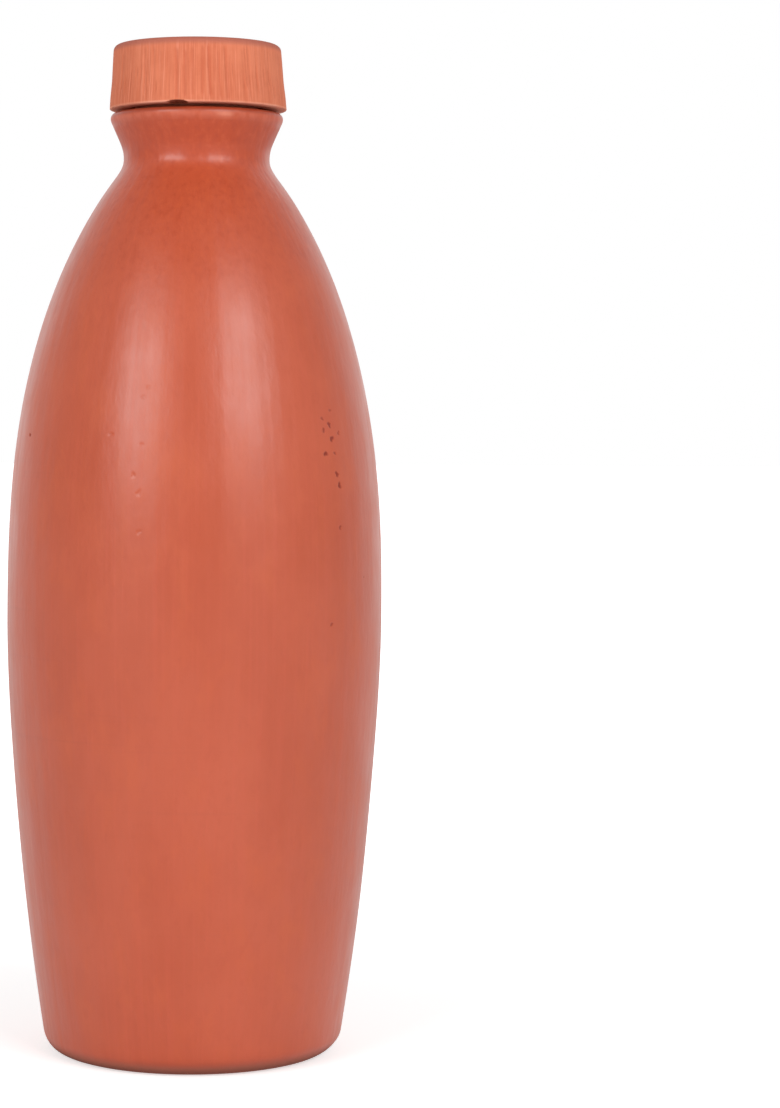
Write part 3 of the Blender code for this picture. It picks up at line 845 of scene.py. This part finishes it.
def make_stage():
    """A pale floor that keeps the bottle's shadow, and turns white where light falls freely on it."""
    mesh = bpy.data.meshes.new("floor")
    far = FLOOR_REACH
    mesh.from_pydata([(-far, -far, 0), (far, -far, 0), (far, far, 0), (-far, far, 0)], [], [(0, 1, 2, 3)])
    made, n, shader = new_material("pale floor")
    shader.inputs["Base Color"].default_value = linear(FLOOR_COLOUR)
    shader.inputs["Roughness"].default_value = 0.9
    path = n.tree.nodes.new("ShaderNodeLightPath")
    mirrored = n.sum(path.outputs["Is Glossy Ray"], path.outputs["Is Transmission Ray"])
    away = n.add("VectorMath", {0: n.place(1, 1, 0)}, output="Value", operation="LENGTH")
    strength = n.times(path.outputs["Is Camera Ray"], n.span(away, 0.05, 0.5, *FLOOR_GLOW))
    behind = n.add("SeparateXYZ", {0: n.place(1, 1, 1)}, output="Y")
    seen = n.times(n.span(away, 0.02, 0.07), n.span(behind, 0.5, 6, FLOOR_SEEN, BACKDROP_SEEN))
    strength = n.sum(strength, n.times(mirrored, seen))
    unseen = n.add("Math", {0: 1.0, 1: path.outputs["Is Camera Ray"]}, operation="SUBTRACT")
    strength = n.sum(strength, n.times(unseen, n.span(away, 0.033, 0.039, UNDERSIDE_LIGHT, 0)))
    glow = n.add("Emission", {"Color": (1, 1, 1, 1), "Strength": strength})
    both = n.add("AddShader", {0: shader.outputs[0], 1: glow})
    through = n.add("BsdfTransparent")
    below = n.add("NewGeometry", output="Backfacing")
    shown = n.add("MixShader", {0: below, 1: both, 2: through})
    n.feed(made.node_tree.nodes["Material Output"], "Surface", shown)
    mesh.materials.append(made)
    floor = bpy.data.objects.new("floor", mesh)
    floor.location.z = -FLOOR_DROP
    bpy.context.scene.collection.objects.link(floor)


def make_room():
    """Even light from all round, which shows as white where it is looked at or mirrored."""
    world = bpy.data.worlds.new("room")
    world.use_nodes = True
    n = Nodes(world.node_tree)
    path = n.tree.nodes.new("ShaderNodeLightPath")
    mirrored = n.sum(path.outputs["Is Glossy Ray"], path.outputs["Is Transmission Ray"])
    direction = n.add("TexCoord", output="Generated")
    height = n.add("SeparateXYZ", {0: direction}, output="Z")
    behind = n.add("SeparateXYZ", {0: direction}, output="Y")
    right = n.add("SeparateXYZ", {0: direction}, output="X")
    seen = n.span(behind, 0.3, 0.8, WALLS_SEEN, BACKDROP_SEEN)
    light = n.span(right, 0.2, 0.9, ROOM_LIGHT, RIGHT_WALL_LIGHT)
    light = n.sum(light, n.span(behind, 0.1, 0.8, 0, BACKDROP_LIGHT))
    wall = n.add("Mix", {0: mirrored, 2: light, 3: seen}, data_type="FLOAT")
    strength = n.times(n.span(height, 0.6, 0.95, 1, CEILING_LIGHT), wall)
    strength = n.add("Mix", {0: path.outputs["Is Camera Ray"], 2: strength, 3: 1.0}, data_type="FLOAT")
    n.feed(world.node_tree.nodes["Background"], "Color", (1, 1, 1, 1))
    n.feed(world.node_tree.nodes["Background"], "Strength", strength)
    bpy.context.scene.world = world


def make_light(name, angle, over_horizon, width, tall, radiance):
    """A soft rectangular light that faces the middle of the bottle."""
    lamp = bpy.data.lights.new(name, "AREA")
    lamp.shape = "RECTANGLE"
    lamp.size = width
    lamp.size_y = tall
    lamp.energy = radiance * pi * width * tall
    made = bpy.data.objects.new(name, lamp)
    toward = Vector((sin(angle) * cos(over_horizon), -cos(angle) * cos(over_horizon), sin(over_horizon)))
    made.location = Vector((0, 0, BELLY_Z)) + toward * LIGHT_DISTANCE
    made.rotation_euler = toward.to_track_quat("Z", "Y").to_euler()
    made.visible_camera = False
    bpy.context.scene.collection.objects.link(made)


def make_camera():
    """The camera, as the photograph was taken."""
    lens = bpy.data.cameras.new("camera")
    lens.lens = CAMERA_LENS
    lens.shift_x = CAMERA_SHIFT
    lens.clip_start = 0.05
    lens.clip_end = 30
    made = bpy.data.objects.new("camera", lens)
    made.location = CAMERA_PLACE
    made.rotation_euler = CAMERA_TURN
    bpy.context.scene.collection.objects.link(made)
    bpy.context.scene.camera = made


WALL_HEIGHTS, WALL_RADII = np.array([(point.z, point.x) for point in wall_outside()]).T

make_camera()
make_body(burnished_clay())
make_washer(silicone())
make_cap(raw_clay())
make_stage()
make_room()
make_light("left light", *LEFT_LIGHT)
make_light("right light", *RIGHT_LIGHT)
bpy.context.scene.view_settings.view_transform = "Standard"

bpy.context.view_layer.update()
